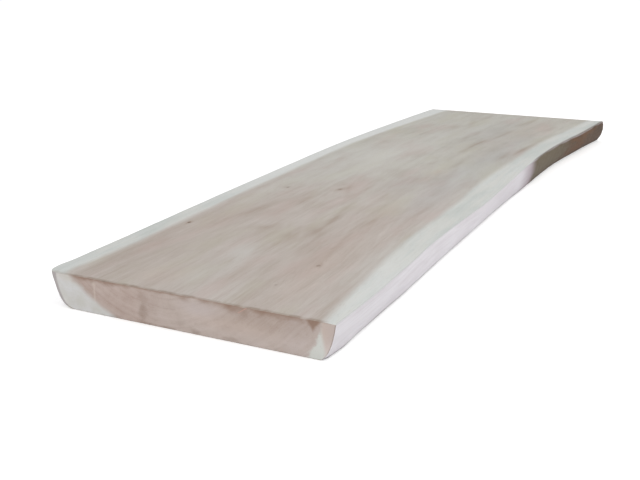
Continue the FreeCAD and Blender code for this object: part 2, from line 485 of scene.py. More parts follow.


# Marks in the figure of the top face, listed under the colour that they take:
# place, half length, half width, slope along the slab and strength of each.
figures = {
    "dark": [
        (-985, -65, 60, 12, 0.12, 0.6), (-810, -69, 75, 16, 0.1, 0.7), (-692, -42, 42, 22, 0.3, 1.0),
        (-580, -29, 75, 9, 0.1, 0.9), (-450, -9, 90, 8, 0.1, 0.6), (-745, 15, 30, 14, 0.3, 0.6),
        (-685, 16, 45, 9, 0.1, 0.5), (-708, 103, 26, 28, -0.6, 0.7), (-582, 201, 75, 14, -0.05, 0.6),
        (-970, 178, 45, 14, 0, 0.4), (-750, -132, 105, 5, 0.13, 1.1), (-275, 93, 34, 12, -0.3, 0.8),
        (-338, 33, 32, 10, 0, 0.6), (-260, 71, 60, 8, 0.3, 0.6), (-35, -117, 26, 8, 0, 0.6),
        (200, -112, 62, 8, 0, 0.6), (360, -212, 85, 9, 0, 0.9), (390, -62, 52, 12, 0, 0.7),
        (505, -62, 60, 8, 0, 0.9), (580, -75, 50, 10, -0.1, 1.0), (705, -100, 50, 7, -0.1, 0.8),
        (790, -107, 60, 13, 0, 0.8), (720, -9, 40, 10, 0, 0.6), (830, 113, 42, 18, 0, 0.6),
        (930, 78, 100, 13, 0.15, 0.6), (990, -112, 70, 11, -0.12, 0.9), (1080, -132, 80, 10, -0.05, 0.8),
        (1080, 58, 60, 14, -0.1, 0.5), (620, 6, 70, 8, 0.1, 0.5), (570, 322, 80, 6, -0.05, 0.6),
        (480, -237, 80, 8, -0.05, 0.8), (580, -250, 150, 8, -0.06, 0.8), (-1080, 282, 130, 18, 0.03, 0.8),
        (470, -150, 190, 55, 0, 0.4), (-1000, 215, 190, 60, 0, 0.3), (-600, 230, 200, 60, 0, 0.2),
        (-850, 292, 140, 10, 0.03, 0.5), (580, 306, 110, 8, -0.05, 0.5), (770, -95, 190, 45, 0, 0.3),
        (-880, -130, 190, 45, 0, 0.4), (500, -60, 110, 40, 0, 0.25), (-580, 150, 60, 40, 0, 0.4),
        (-600, -50, 110, 30, 0, 0.3), (1000, -190, 130, 55, 0, 0.3), (770, 110, 80, 45, 0, 0.35),
        (470, 210, 60, 40, 0, 0.25), (-120, -60, 260, 35, 0, 0.2), (170, -110, 120, 30, 0, 0.2),
    ],
    "grey": [
        (-900, 48, 62, 42, 0, 0.8), (-1080, 52, 80, 18, 0, 0.5), (-1120, -90, 60, 30, 0, 0.3),
        (-60, 170, 190, 60, 0, 0.5), (250, 190, 170, 60, 0, 0.6), (620, 100, 190, 55, 0, 0.9),
        (1010, 165, 130, 30, 0, 0.5), (880, 18, 160, 22, 0, 0.5), (300, 60, 160, 70, 0, 0.6),
        (50, 285, 330, 55, 0, 0.9), (-110, 225, 210, 65, 0, 0.5), (0, 30, 200, 60, 0, 0.4),
        (-1020, 20, 150, 60, 0, 0.4), (-850, -255, 260, 25, 0.05, 0.7), (1050, 260, 140, 30, -0.1, 0.8),
    ],
    "warm": [
        (-50, -84, 45, 16, 0, 0.7), (50, -96, 45, 20, 0, 0.8), (-1120, 120, 60, 60, 0, 0.5),
        (-700, 240, 140, 40, 0, 0.4), (-950, -170, 240, 60, 0.05, 0.5), (-450, -130, 200, 40, 0.1, 0.4),
        (800, -170, 260, 60, -0.08, 0.6), (530, 270, 110, 20, 0, 0.5), (700, 210, 90, 14, 0.15, 0.5),
    ],
    "cool": [
        (-265, -180, 210, 60, 0, 0.8), (100, -175, 230, 65, 0, 1.0), (420, -190, 200, 60, 0, 0.9),
        (650, -200, 120, 40, 0, 0.5), (-130, -60, 120, 60, 0, 0.6),
        (770, -80, 260, 110, 0, 0.75),
    ],
    "light": [
        (260, 160, 250, 90, 0, 0.95), (-430, 285, 120, 35, 0, 0.6), (1100, 100, 70, 90, 0, 0.5),
        (1075, -40, 60, 40, 0, 0.4),
    ],
}


# The sum of the marks, each a Gaussian hump exp(-(u / long)^2 - (v / wide)^2), where u
# and v are the distances along and across its sloping axis.
def markStrength(marks, x, y):
    total = np.zeros_like(x)
    for px, py, longHalf, wideHalf, slope, strength in marks:
        du = (x - px) / longHalf
        dv = (y - py - slope * (x - px)) / wideHalf
        total += strength * np.exp(-(du**2) - dv**2)
    return np.clip(total, 0, 1.2)


def buildSlab():
    mesh = bpy.data.meshes.new("liveEdgeSlab")
    mesh.vertices.add(len(points))
    mesh.vertices.foreach_set("co", (points * mm).astype(np.float32).ravel())
    mesh.loops.add(faces.size)
    mesh.loops.foreach_set("vertex_index", faces.astype(np.int32).ravel())
    mesh.polygons.add(len(faces))
    mesh.polygons.foreach_set("loop_start", np.arange(0, faces.size, 4, dtype=np.int32))
    mesh.polygons.foreach_set("loop_total", np.full(len(faces), 4, dtype=np.int32))
    mesh.polygons.foreach_set("material_index", kinds.astype(np.int32))
    mesh.update(calc_edges=True)
    mesh.polygons.foreach_set("use_smooth", np.ones(len(faces), bool))

    x, y, z = points.T
    lineField = mesh.attributes.new("grainLine", "FLOAT_VECTOR", "POINT")
    lineField.data.foreach_set("vector", (grainLine(x, y, z) * mm).astype(np.float32).ravel())
    fields = {
        "ringDistance": ringDistance(x, y, z) * mm,
        "heartDepth": np.clip(heartDepth(x, y, z), -200, 200) * mm,
        "barkAndShadeCover": np.where(y < 0, barkAndShadeCover(x, z), 0),
        "shadeAheadOfBark": np.where(y < 0, shadeAheadOfBark(x, z), 0),
        "edgeDistance": np.minimum(liveEdge(x, z, 1) - y, y - liveEdge(x, z, -1)) * mm,
    }
    for name, marks in figures.items():
        fields[name + "Figure"] = markStrength(marks, x, y)
    for name, values in fields.items():
        field = mesh.attributes.new(name, "FLOAT", "POINT")
        field.data.foreach_set("value", values.astype(np.float32))
    piece = bpy.data.objects.new("liveEdgeSlab", mesh)
    bpy.context.scene.collection.objects.link(piece)
    return piece


slabPiece = buildSlab()
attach(slabPiece, "root")
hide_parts("live_edge_slab")
print("slab built")


# Turns an sRGB hex colour to the linear one that a node takes.
def srgb(code):
    channels = [int(code[i:i + 2], 16) / 255 for i in (0, 2, 4)]
    linear = [c / 12.92 if c <= 0.04045 else ((c + 0.055) / 1.055) ** 2.4 for c in channels]
    return (*linear, 1.0)


# The kinds of node used here: Blender's name, the input sockets in the order in which
# values are given, the output handed back (None for all of them) and fixed settings.
nodeKinds = {
    "place": ("ShaderNodeTexCoord", (), "Object", {}),
    "axes": ("ShaderNodeSeparateXYZ", (0,), None, {}),
    "attribute": ("ShaderNodeAttribute", (), "Fac", {"attribute_type": "GEOMETRY"}),
    "vectorAttribute": ("ShaderNodeAttribute", (), "Vector", {"attribute_type": "GEOMETRY"}),
    "ramp": ("ShaderNodeMapRange", (0, 1, 2, 3, 4), 0, {"interpolation_type": "SMOOTHSTEP"}),
    "mix": ("ShaderNodeMix", (0, 6, 7), 2, {"data_type": "RGBA", "clamp_factor": True}),
    "stops": ("ShaderNodeValToRGB", (0,), 0, {}),
    "vectorProduct": ("ShaderNodeVectorMath", (0, 1), 0, {"operation": "MULTIPLY"}),
    "vectorDifference": ("ShaderNodeVectorMath", (0, 1), 0, {"operation": "SUBTRACT"}),
    "vectorLength": ("ShaderNodeVectorMath", (0,), "Value", {"operation": "LENGTH"}),
    "noise": ("ShaderNodeTexNoise", ("Vector", "Scale", "Detail", "Roughness"), 0, {}),
    "bands": ("ShaderNodeTexNoise", ("W", "Scale", "Detail", "Roughness"), 0, {"noise_dimensions": "1D"}),
    "wave": ("ShaderNodeTexWave", ("Vector", "Scale", "Distortion", "Detail"), "Fac", {}),
    "bump": ("ShaderNodeBump", ("Height", "Strength", "Distance"), 0, {}),
    "surface": (
        "ShaderNodeBsdfPrincipled",
        ("Base Color", "Roughness", "Normal", "IOR", "Specular IOR Level"), 0, {},
    ),
    "matt": ("ShaderNodeBsdfDiffuse", ("Color",), 0, {}),
    "glow": ("ShaderNodeEmission", ("Color", "Strength"), 0, {}),
    "both": ("ShaderNodeAddShader", (0, 1), 0, {}),
    "materialOutput": ("ShaderNodeOutputMaterial", ("Surface",), None, {}),
    "lightPath": ("ShaderNodeLightPath", (), None, {}),
    "background": ("ShaderNodeBackground", ("Color", "Strength"), 0, {}),
    "worldOutput": ("ShaderNodeOutputWorld", ("Surface",), None, {}),
}
mathKinds = {
    "add": "ADD", "subtract": "SUBTRACT", "multiply": "MULTIPLY", "divide": "DIVIDE",
    "multiplyAdd": "MULTIPLY_ADD", "maximum": "MAXIMUM", "absolute": "ABSOLUTE", "fraction": "FRACT",
}
for kind, operation in mathKinds.items():
    nodeKinds[kind] = ("ShaderNodeMath", (0, 1, 2), 0, {"operation": operation})


# Puts one node into a tree, with its values or links in the order above and any more
# settings by name.
def putNode(tree, kind, *values, **settings):
    name, sockets, output, fixed = nodeKinds[kind]
    node = tree.nodes.new(name)
    for key, value in {**fixed, **settings}.items():
        setattr(node, key, value)
    for key, value in zip(sockets, values):
        if isinstance(value, bpy.types.NodeSocket):
            tree.links.new(value, node.inputs[key])
        else:
            node.inputs[key].default_value = value
    return node.outputs if output is None else node.outputs[output]


# Empties the nodes of a material or a world. What it returns puts nodes into them.
def clearNodes(owner):
    owner.use_nodes = True
    owner.node_tree.nodes.clear()
    return partial(putNode, owner.node_tree)


# In the materials px, py and pz are a point's place in metres, and a number times mm is
# in millimetres.
def newMaterial(name):
    material = bpy.data.materials.new(name)
    return material, clearNodes(material)


# Noise stretched along the grain: pitches are the rough size in millimetres of a
# patch along, across and through the slab.
def grainNoise(put, vector, pitches, detail=3.0, roughness=0.55):
    stretched = put("vectorProduct", vector, tuple(1 / (pitch * mm) for pitch in pitches))
    return put("noise", stretched, 1.0, detail, roughness)


# Growth rings as uneven bands: one-dimensional noise along the distance from the pith.
def ringNoise(put, distance, waver, pitch):
    along = put("divide", distance, pitch * mm)
    bent = put("add", along, put("multiply", waver, 1.6))
    return put("bands", bent, 1.0, 2.0, 0.6)


# Weight of a soft-edged ellipsoid: 1 inside, falling to 0 where the distance from its
# centre, measured in radii, passes from 1 - soft to 1 + soft. rough makes it ragged.
def spotAt(put, place, centre, radii, soft, rough=0.0):
    offset = put("vectorDifference", place, tuple(c * mm for c in centre))
    inRadii = put("vectorProduct", offset, tuple(1 / (radius * mm) for radius in radii))
    distance = put("add", put("vectorLength", inRadii), rough)
    return put("ramp", distance, 1 - soft, 1 + soft, 1.0, 0.0)


# Dark, middle and light colour at 0.5 - swing, 0.5 and 0.5 + swing of a tone.
def toneColour(put, tone, dark, middle, light, swing=0.36):
    colour = put("stops", tone)
    stops = colour.node.color_ramp.elements
    stops[0].position, stops[0].color = 0.5 - swing, srgb(dark)
    stops[1].position, stops[1].color = 0.5 + swing, srgb(light)
    stops.new(0.5).color = srgb(middle)
    return colour


# A value swayed by noises: each is taken about its own middle 0.5, weighted and added.
def sway(put, value, *noises):
    for noise, weight in noises:
        value = put("multiplyAdd", put("subtract", noise, 0.5), weight, value)
    return value


woodIndex = 1.45  # how much the wood bends light


# The wood's shader, whose bump is depth millimetres high at full strength.
def finishWood(put, colour, roughness, height, strength, depth, specular):
    bump = put("bump", height, strength, depth * mm)
    surface = put("surface", colour, roughness, bump, woodIndex, specular)
    put("materialOutput", surface)


# Sanded face of a pale tropical hardwood, planed flat and left unfinished: matt, with
# pinkish grey heartwood that turns greener towards the far end, long faint streaks
# over soft clouds of colour, greenish white sapwood, pin knots and open grain. Each size
# is that of a patch along, across and through the slab. The fibres and the pores are
# several times as wide as real ones, or they would not show at this distance.
sandedFace = {
    "cloudSize": (230, 85, 85),
    "patchSize": (190, 30, 60),
    "tintSize": (280, 90, 90),
    "streakSize": (330, 12, 30),
    "fineSize": (120, 3.2, 12),
    "fibreSize": (34, 0.8, 4),
    "poreSize": (26, 1.3, 4),
    "stainSize": (60, 24, 60),
    "ringPitch": 11,
    "nearDark": "a49589",
    "nearMid": "b6ada6",
    "nearLight": "c4bdb7",
    "farDark": "a19a8f",
    "farMid": "b8b5ad",
    "farLight": "c6c4bc",
    "grey": "c0beb9",
    "warm": "b89f91",
    "cool": "a9abb0",
    "light": "d0cec9",
    "olive": "b0ab98",
    "rose": "c2aca8",
    "dark": "8d7866",
    "sap": "cfd1cf",
    "sapShade": "bfc3bf",
    "sapPale": "dbdcda",
    "sapWarm": "d0cdc5",
    "knotCore": "5d4838",
    "knotHalo": "9a8675",
    "cutEdge": "8a7768",
    "arrisShade": "b7b9b7",
    "barkTrace": "5f5144",
    "roughness": 0.68,
}


def buildSandedFace():
    material, put = newMaterial("sandedHardwoodFace")
    look = sandedFace
    grain = put("vectorAttribute", attribute_name="grainLine")
    place = put("place")
    px, py, _ = put("axes", place)
    onRight = put("ramp", py, -0.1, 0.0, 1.0, 0.0)
    cloud = grainNoise(put, grain, look["cloudSize"])
    patch = grainNoise(put, grain, look["patchSize"])
    tint = grainNoise(put, grain, look["tintSize"])
    streak = grainNoise(put, grain, look["streakSize"])
    fine = grainNoise(put, grain, look["fineSize"], 3.0, 0.65)
    fibre = grainNoise(put, grain, look["fibreSize"], 2.0, 0.6)
    ring = ringNoise(put, put("attribute", attribute_name="ringDistance"), cloud, look["ringPitch"])

    tone = sway(put, 0.5, (patch, 0.6), (cloud, 0.45), (streak, 0.36), (fine, 0.58))
    tone = sway(put, tone, (fibre, 0.48), (ring, 0.2))
    nearColour = toneColour(put, tone, look["nearDark"], look["nearMid"], look["nearLight"])
    farTone = sway(put, 0.5, (cloud, 0.6), (tint, 0.4), (patch, 0.55), (streak, 0.2))
    farTone = sway(put, farTone, (fine, 0.4), (fibre, 0.42))
    farColour = toneColour(put, farTone, look["farDark"], look["farMid"], look["farLight"])
    cooling = sway(put, px, (cloud, 1.6))
    colour = put("mix", put("ramp", cooling, -0.55, 0.35), nearColour, farColour)

    # soft clouds of olive and rose over the heartwood
    colour = put("mix", put("ramp", tint, 0.5, 0.68, 0.0, 0.35), colour, srgb(look["olive"]))
    colour = put("mix", put("ramp", tint, 0.5, 0.32, 0.0, 0.25), colour, srgb(look["rose"]))

    # the marks, each with its strength and broken up by a noise along the grain
    patchy = put("ramp", patch, 0.3, 0.65, 0.35, 1.1)
    streaky = put("ramp", streak, 0.3, 0.65, 0.4, 1.1)
    marks = [("grey", 0.6, patchy), ("warm", 0.4, patchy), ("cool", 0.28, 1), ("light", 0.4, 1)]
    for name, strength, breaks in marks + [("dark", 0.44, streaky)]:
        mark = put("multiply", put("attribute", attribute_name=name + "Figure"), breaks)
        colour = put("mix", put("multiply", mark, strength), colour, srgb(look[name]))

    # the sapwood line is crisp but feathered along the fibres
    feather = sway(put, 0.5, (cloud, 0.12), (streak, 0.08), (fine, 0.05))
    depth = sway(put, put("attribute", attribute_name="heartDepth"), (feather, 0.16))
    sapTone = sway(put, 0.5, (patch, 0.6), (tint, 0.5), (streak, 0.3), (fine, 0.6), (fibre, 0.4))
    sapColour = put("mix", put("ramp", sapTone, 0.25, 0.75), srgb(look["sapShade"]), srgb(look["sap"]))
    sapColour = put("mix", put("ramp", patch, 0.42, 0.62, 0.0, 0.3), sapColour, srgb(look["sapWarm"]))
    paler = put("multiply", put("ramp", px, -0.9, 0.1), put("ramp", py, 0.0, 0.1))
    sapColour = put("mix", put("multiply", paler, 0.7), sapColour, srgb(look["sapPale"]))
    nearRight = put("multiply", put("ramp", px, -0.95, -0.65, 0.35, 0.0), onRight)
    sapColour = put("mix", nearRight, sapColour, srgb(look["sapPale"]))
    farRight = put("multiply", put("ramp", px, 0.3, 0.5, 0.0, 0.5), put("ramp", px, 0.55, 0.75, 1.0, 0.0))
    farRight = put("multiply", farRight, onRight)
    sapColour = put("mix", farRight, sapColour, srgb(look["sapShade"]))
    colour = put("mix", put("ramp", depth, -15 * mm, 11 * mm), sapColour, colour)

    ragged = put("multiply", put("subtract", fine, 0.5), 1.6)
    for knot in knots:
        centre = (*knot["place"], top)
        size = knot["size"]
        halo = spotAt(put, place, centre, (size * 1.9, size * 1.1, size * 2), 0.6, ragged)
        core = spotAt(put, place, centre, (size * 0.75, size * 0.5, size), 0.45, ragged)
        colour = put("mix", put("multiply", halo, knot["dark"] * 0.55), colour, srgb(look["knotHalo"]))
        colour = put("mix", put("multiply", core, knot["dark"]), colour, srgb(look["knotCore"]))

    pores = put("ramp", grainNoise(put, grain, look["poreSize"], 1.0), 0.6, 0.7)
    colour = put("mix", put("multiply", pores, 0.2), colour, srgb(look["dark"]))

    # the arrises: stained along both end cuts, darkened by painted shade on the right where
    # the rounded arris faces the lamps, and with traces of the dark bark where it comes
    # up to the face
    fromCut = put("subtract", half * mm, put("absolute", px))
    broken = grainNoise(put, place, look["stainSize"], 2.0, 0.6)
    fromCut = sway(put, fromCut, (broken, 0.012))
    cutEdge = put("ramp", fromCut, 1.5 * mm, 10 * mm, 0.65, 0.0)
    cutEdge = put("multiply", cutEdge, put("ramp", py, 0.3, 0.33, 1.0, 0.4))
    cutEdge = put("multiply", cutEdge, put("ramp", broken, 0.35, 0.6, 1.05, 0.75))
    cutEdge = put("multiply", cutEdge, put("ramp", py, -0.325, -0.3))
    colour = put("mix", cutEdge, colour, srgb(look["cutEdge"]))
    fromEdge = put("attribute", attribute_name="edgeDistance")
    # painted shade on the rounded right arris, which the lamps light more than the face
    dullShade = put("multiply", put("ramp", fromEdge, 0.5 * mm, 4.5 * mm, 0.5, 0.0), onRight)
    colour = put("mix", dullShade, colour, srgb(look["arrisShade"]))
    ragged = sway(put, fromEdge, (streak, 0.01))
    wide = put("ramp", px, 0.5, 0.85, 8 * mm, 13 * mm)
    trace = put("multiply", put("ramp", ragged, 0.0, wide, 0.85, 0.0), put("ramp", px, 0.3, 0.4))
    colour = put("mix", put("multiply", trace, onRight), colour, srgb(look["barkTrace"]))
    height = sway(put, 0.5, (fine, 0.7), (fibre, 0.5), (pores, -0.7))
    rough = put("ramp", fine, 0.3, 0.7, look["roughness"] - 0.05, look["roughness"] + 0.06)
    finishWood(put, colour, rough, height, 0.3, 0.3, 0.35)
    return material


# Sawn end grain of the same wood: pinker and a little darker because the open pores
# take up light, with thin uneven ring lines, mottled paler sapwood, with sapwood and
# outer wood made paler still towards the foot by painted light, brown stain and ragged
# splinters under the top arris, and a dark rim where the live edge was, partly brown
# skin and partly painted shade on the eased arrises. The specks stand for open pores,
# which are several times smaller in the wood.
endGrain = {
    "cloudSize": (70, 70, 40),
    "blotchSize": (25, 26, 16),
    "speckSize": (2.2, 2.2, 2.2),
    "ringPitch": 12,
    "yearPitch": 6.5,
    "heart": "b3a59d",
    "heartDark": "9c8a81",
    "heartPale": "c0b4ae",
    "sap": "cdcccc",
    "sapShade": "c2c0ba",
    "sapFootLight": "e0dfde",
    "sapHead": "c9c0b6",
    "wedge": "c9cac5",
    "outer": "bdaea5",
    "outerRim": "b8aaa4",
    "outerFootLight": "d0c6c3",
    "ash": "b9aeab",
    "stain": "826552",
    "brown": "937e70",
    "tan": "be9f89",
    "spot": "75604f",
    "pale": "d2c8bd",
    "red": "ab8f85",
    "pink": "c79c90",
    "skinAndShadeRim": "6f6159",
    "roughness": 0.8,
}
# Stain under the near end's top arris: from and to across the slab, and how deep.
endStains = [
    (180, 296, 8), (236, 270, 12), (184, 208, 15), (140, 185, 9), (20, 128, 6), (-8, 22, 13),
    (-60, -34, 12), (-112, -66, 13), (-146, -94, 21), (-190, -164, 17), (-272, -150, 11),
]

# Spots on the near end: place across and up, with their half sizes and strength.
endSpots = [
    (109, 28, 11, 15, 0.3), (106, 54, 12, 15, 0.12), (14, 24, 10, 15, 0.1), (-22, 5, 13, 6, 0.35),
    (-106, 6, 14, 4, 0.25), (180, 3, 14, 4, 0.25), (100, 2, 14, 3, 0.25), (50, 2, 20, 3, 0.25),
]

# Brown triangle at the heartwood's upper right corner, a scratch that slants up to the
# arris and a pale split, all on the near end.
endMarks = {
    "triangleY": -289,
    "triangleApex": 57,
    "triangleWidening": 0.72,
    "scratchY": -128,
    "scratchZ": 68,
    "scratchSlant": 1.5,
    "scratchFoot": 64,
    "splitY": 234.6,
    "splitZ": 50,
    "splitHeadZ": 68,
}

# Broad clouds of colour in the near end's heartwood: colour, place, half sizes, strength.
endClouds = [
    ("heartPale", -50, 30, 130, 45, 0.32), ("brown", -195, 62, 95, 24, 0.4),
    ("heartPale", -175, 18, 90, 20, 0.4), ("heartDark", 90, 50, 26, 30, 0.22),
    ("ash", -32, 58, 44, 14, 0.6), ("tan", -110, 36, 80, 14, 0.1),
]


def buildEndGrain():
    material, put = newMaterial("sawnEndGrain")
    look = endGrain
    place = put("place")
    px, py, pz = put("axes", place)
    isNear = put("ramp", px, -0.1, 0.1, 1.0, 0.0)
    cloud = grainNoise(put, place, look["cloudSize"])
    blotch = grainNoise(put, place, look["blotchSize"], 3.0, 0.6)
    speck = grainNoise(put, place, look["speckSize"], 2.0, 0.7)
    distance = put("attribute", attribute_name="ringDistance")
    ring = ringNoise(put, distance, cloud, look["ringPitch"])
    # late wood: a thin dark line where the distance, warped by the blotches, completes
    # each ring, stronger in some years than in others
    waver = sway(put, distance, (blotch, 0.014))
    years = put("divide", sway(put, waver, (ring, 0.012)), look["yearPitch"] * mm)
    year = put("fraction", years)
    lateWood = put("multiply", put("ramp", year, 0.6, 0.95), put("ramp", year, 0.95, 1.0, 1.0, 0.0))
    lateWood = put("multiply", lateWood, put("ramp", cloud, 0.38, 0.62))

    tone = sway(put, 0.5, (ring, 0.5), (blotch, 0.6), (cloud, 0.8), (speck, 0.55), (lateWood, -0.16))
    heartColour = toneColour(put, tone, look["heartDark"], look["heart"], look["heartPale"])
    sapTone = sway(put, 0.5, (blotch, 0.5), (cloud, 0.9), (speck, 0.3), (lateWood, -0.08))
    sapColour = put("mix", put("ramp", sapTone, 0.25, 0.7), srgb(look["sapShade"]), srgb(look["sap"]))
    # painted light: the left sapwood is paler towards the foot, lifting the shade low on the end
    sapFootLight = put("multiply", put("ramp", pz, 8 * mm, 45 * mm, 0.5, 0.0), put("ramp", py, 0.295, 0.335))
    sapColour = put("mix", sapFootLight, sapColour, srgb(look["sapFootLight"]))
    sapColour = put("mix", put("ramp", pz, 55 * mm, 72 * mm, 0.0, 0.3), sapColour, srgb(look["sapHead"]))
    # right of the heartwood, a pale wedge and then tan outer wood
    jag = sway(put, py, (blotch, 0.006))
    onRight = put("ramp", py, -0.1, 0.0, 1.0, 0.0)
    onLeft = put("subtract", 1.0, onRight)
    sapColour = put("mix", onRight, sapColour, srgb(look["wedge"]))
    tanLine = put("add", jag, put("ramp", pz, 5 * mm, 75 * mm, 10 * mm, 0.0))
    tan = put("ramp", tanLine, -311 * mm, -299 * mm, 1.0, 0.0)
    outer = put("mix", put("ramp", jag, -336 * mm, -303 * mm), srgb(look["outerRim"]), srgb(look["outer"]))
    # painted light: the outer wood is paler towards the foot
    outer = put("mix", put("ramp", pz, 12 * mm, 60 * mm, 0.5, 0.0), outer, srgb(look["outerFootLight"]))
    sapColour = put("mix", tan, sapColour, outer)
    mottle = sway(put, 0.5, (blotch, 1.0), (speck, 0.2))
    soft = sway(put, put("attribute", attribute_name="heartDepth"), (mottle, 0.03))
    leftMix = put("ramp", soft, -20 * mm, 12 * mm)
    rightMix = put("ramp", soft, -5 * mm, 5 * mm)
    inHeart = put("add", put("multiply", leftMix, onLeft), put("multiply", rightMix, onRight))
    brownEdge = put("multiply", put("ramp", soft, 0.0, 40 * mm, 0.25, 0.0), onLeft)
    brownEdge = put("multiply", brownEdge, put("ramp", pz, 18 * mm, 62 * mm))
    heartColour = put("mix", brownEdge, heartColour, srgb(look["stain"]))
    # redder heartwood on the left, greyer beside the wedge on the right
    heartColour = put("mix", put("ramp", py, 0.03, 0.15, 0.0, 0.25), heartColour, srgb(look["red"]))
    ash = put("multiply", put("ramp", py, -0.25, -0.2, 0.45, 0.0), put("ramp", blotch, 0.35, 0.6, 0.4, 1.0))
    heartColour = put("mix", ash, heartColour, srgb(look["ash"]))
    for kind, y, z, wide, high, strength in endClouds:
        area = spotAt(put, place, (-half, y, z), (30, wide, high), 0.8)
        heartColour = put("mix", put("multiply", area, strength), heartColour, srgb(look[kind]))
    colour = put("mix", inHeart, sapColour, heartColour)

    fromTop = put("subtract", top * mm, pz)
    reach = sway(put, fromTop, (blotch, 0.008))
    for start, stop, deep in endStains:
        fromStart = put("ramp", py, (start - 12) * mm, (start + 12) * mm)
        toStop = put("ramp", py, (stop - 12) * mm, (stop + 12) * mm, 1.0, 0.0)
        inside = put("multiply", fromStart, toStop)
        stain = put("multiply", inside, put("ramp", reach, -0.1 * deep * mm, 1.25 * deep * mm, 0.55, 0.0))
        colour = put("mix", put("multiply", stain, isNear), colour, srgb(look["stain"]))
    # a thin dark line just under the arris
    line = put("ramp", fromTop, 1.0 * mm, 3.6 * mm, 0.35, 0.0)
    line = put("multiply", line, put("ramp", py, 0.1, 0.2, 1.0, 0.5))
    colour = put("mix", line, colour, srgb(look["stain"]))
    # the triangle, by how far a point lies outside its sloping sides
    triangleRise = put("subtract", pz, endMarks["triangleApex"] * mm)
    halfWide = put("multiply", triangleRise, endMarks["triangleWidening"])
    aside = put("absolute", put("subtract", py, endMarks["triangleY"] * mm))
    aside = sway(put, put("subtract", aside, halfWide), (blotch, 0.01))
    corner = put("multiply", put("ramp", aside, -6 * mm, 4.5 * mm, 0.75, 0.0), isNear)
    colour = put("mix", corner, colour, srgb(look["stain"]))
    ragged = put("multiply", put("subtract", blotch, 0.5), 2.0)
    for y, z, wide, high, strength in endSpots:
        spot = spotAt(put, place, (-half, y, z), (30, wide, high), 0.7, ragged)
        colour = put("mix", put("multiply", spot, strength), colour, srgb(look["spot"]))
    split = spotAt(put, place, (-half, endMarks["splitY"], endMarks["splitZ"]), (30, 2.2, 22), 0.6)
    head = spotAt(put, place, (-half, endMarks["splitY"], endMarks["splitHeadZ"]), (30, 5, 5), 0.6)
    pale = put("multiply", put("maximum", split, head), 0.3)
    colour = put("mix", pale, colour, srgb(look["pale"]))

    # the scratch, pink, by how far a point lies from its slanting line
    scratchRise = put("subtract", pz, endMarks["scratchZ"] * mm)
    scratchAside = put("subtract", py, endMarks["scratchY"] * mm)
    slant = put("multiplyAdd", scratchRise, endMarks["scratchSlant"], scratchAside)
    scratch = put("ramp", put("absolute", slant), 0.5 * mm, 2.2 * mm, 0.6, 0.0)
    scratchFoot = endMarks["scratchFoot"] * mm
    scratch = put("multiply", scratch, put("ramp", pz, scratchFoot, scratchFoot + 3 * mm))
    colour = put("mix", put("multiply", scratch, isNear), colour, srgb(look["pink"]))

    # a dark rim along the live edges, partly their brown skin and partly painted shade on
    # the eased arrises, weaker on the right and weakest at the worn corner, and along the
    # foot a painted shade where the end meets the floor
    skinAndShadeRim = put("ramp", put("attribute", attribute_name="edgeDistance"), 1.4 * mm, 4.2 * mm, 0.85, 0.0)
    skinAndShadeRim = put("multiply", skinAndShadeRim, put("ramp", py, -0.3, 0.0, 0.6, 1.0))
    skinAndShadeRim = put("multiply", skinAndShadeRim, put("ramp", py, 0.29, 0.32, 1.0, 0.3))
    colour = put("mix", skinAndShadeRim, colour, srgb(look["skinAndShadeRim"]))
    # painted shade along the foot of the end, by the floor
    fromFoot = put("multiplyAdd", blotch, 0.006, put("subtract", pz, 1.5 * mm))
    colour = put("mix", put("ramp", fromFoot, 1.2 * mm, 3.8 * mm, 0.35, 0.0), colour, srgb(look["skinAndShadeRim"]))
    pores = put("ramp", speck, 0.6, 0.72)
    colour = put("mix", put("multiply", pores, 0.18), colour, srgb(look["stain"]))
    # faint waves from the saw across the face
    kerf = put("wave", place, 60.0, 3.0, 2.0, bands_direction="Y")
    height = sway(put, 0.5, (kerf, 0.35), (pores, -0.6), (lateWood, 0.3))
    finishWood(put, colour, look["roughness"], height, 0.4, 0.4, 0.25)
    return material


# Live edge with the bark peeled off and brushed clean: pinkish white sapwood with long
# faint fibres, a dark line along the foot, partly inner bark left there and partly
# painted shade under the rounded foot, and dark brown inner bark still on the far part
# of the right side, deepened by painted shade, with painted mauve shade ahead of it.
# Painted shade also darkens the sides towards the middle, under the right top arris
# and, in part, at the worn corner.
liveEdgeLook = {
    "fibreSize": (150, 20, 4),
    "cloudSize": (210, 60, 40),
    "flakeSize": (22, 22, 10),
    "patchSize": (120, 60, 30),
    "sap": "dbd8dc",
    "sapShade": "cfcace",
    # the colours from foot to halo darken the live edges where painted shade lies, foot and wornCorner only
    # in part
    "foot": "5d5759",
    "dullShade": "c3bfc3",
    "arrisShade": "bfbcbf",
    # darker at the worn corner, partly brown skin and partly painted shade on its eased edge
    "wornCorner": "857b76",
    "halo": "94858b",
    # the bark colours, deepened to hold painted shade as well
    "bark": "5b4738",
    "barkDeep": "3f332a",
    "barkGreen": "645b4b",
    "barkWarm": "62442d",
    "roughness": 0.72,
}


